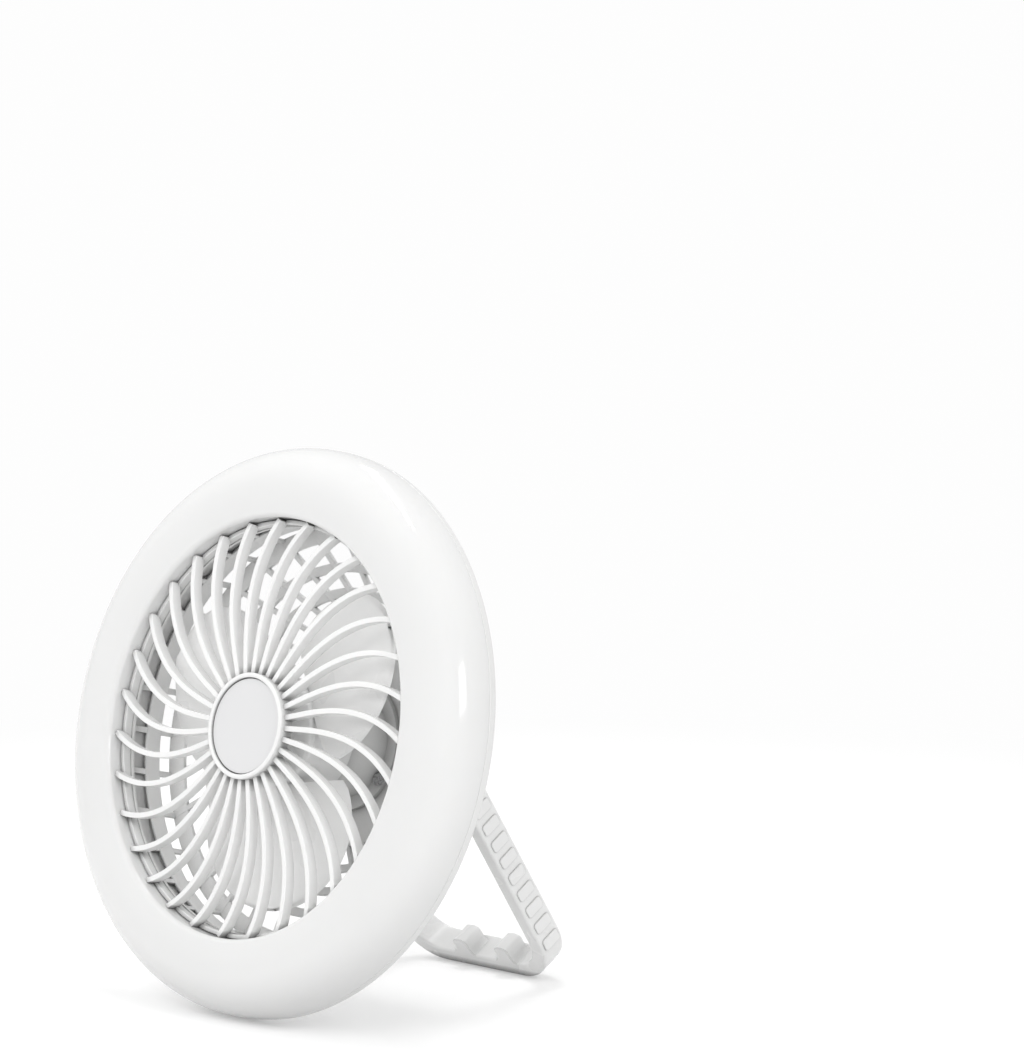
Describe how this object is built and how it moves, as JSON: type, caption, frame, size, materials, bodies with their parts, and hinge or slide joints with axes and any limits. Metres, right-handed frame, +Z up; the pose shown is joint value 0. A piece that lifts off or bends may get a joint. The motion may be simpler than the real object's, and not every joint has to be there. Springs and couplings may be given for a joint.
{
  "type": "portable camping fan",
  "caption": "Round fan with a ring light, a curved-rib front grille, a caged rear and a folding U handle that stands it or hangs it from hook fingers.",
  "frame": {"origin": "centre of the bounding box on the standing surface, which the ring's rear edge and the handle's bar touch", "axes": "+Z up, -Y towards the side the air comes out, +X along the handle's pivots; the fan leans back by 13.6 degrees"},
  "size_m": [0.22, 0.1578, 0.2153],
  "materials": {
    "shell": "smooth glossy white",
    "light_cover": "glossy milky white",
    "grille": "glossy white",
    "badge": "plain satin grey",
    "blades": "satin white",
    "button_grey": "satin",
    "steel": "plain",
    "can_steel": "turned",
    "magnet": "dull",
    "lamination": "dull",
    "copper": "enamelled wire",
    "board_green": "satin",
    "board_white": "satin",
    "lamp": "satin",
    "cell_foil": "satin foil",
    "foam": "soft",
    "switch_black": "satin",
    "washer": "matt",
    "clear": "clear"
  },
  "bodies": {
    "fan": {"light_ring_cover": "light_cover", "light_ring_housing": "shell", "led_board": "board_white", "led_chips": "lamp", "led_board_screws": "steel", "front_grille": "grille", "hub_badge": "badge", "rear_guard": "grille", "guard_rim_screws": "steel", "stator_core": "lamination", "stator_coils": "copper", "motor_board": "board_green", "bearing_front": "steel", "bearing_rear": "steel", "motor_mount": "shell", "motor_mount_screws": "steel", "drum_shell": "shell", "guard_hub_screws": "steel", "battery_cell": "cell_foil", "battery_tray": "shell", "battery_pad": "foam", "control_board": "board_green", "button_switches": "switch_black", "usb_c_socket": "can_steel", "board_screws": "steel", "rear_cover": "shell", "rear_cover_screws": "steel", "light_pipe": "clear", "pivot_pins": "steel", "friction_washers": "washer"},
    "impeller": {"impeller": "blades", "rotor_can": "can_steel", "rotor_magnet": "magnet", "motor_shaft": "steel", "shaft_clip": "steel"},
    "handle": {"handle": "shell", "pivot_caps": "shell"},
    "fan_button": {"fan_button": "button_grey"},
    "light_button": {"light_button": "button_grey"}
  },
  "joints": [
    {"name": "handle_pivot", "type": "hinge", "parent": "fan", "child": "handle", "pos_m": [0, 0.01321, 0.09516], "axis": [1, 0, 0], "range_deg": [-47, 133]},
    {"name": "impeller_spin", "type": "hinge", "parent": "fan", "child": "impeller", "pos_m": [0, -0.03458, 0.10669], "axis": [0, -0.9721, 0.2346], "continuous": true},
    {"name": "fan_button_press", "type": "slide", "parent": "fan", "child": "fan_button", "axis": [0, -0.9721, 0.2346], "range_m": [0, 0.0008], "stiffness_N_per_m": 600, "springref_m": -0.001},
    {"name": "light_button_press", "type": "slide", "parent": "fan", "child": "light_button", "axis": [0, -0.9721, 0.2346], "range_m": [0, 0.0008], "stiffness_N_per_m": 600, "springref_m": -0.001}
  ]
}
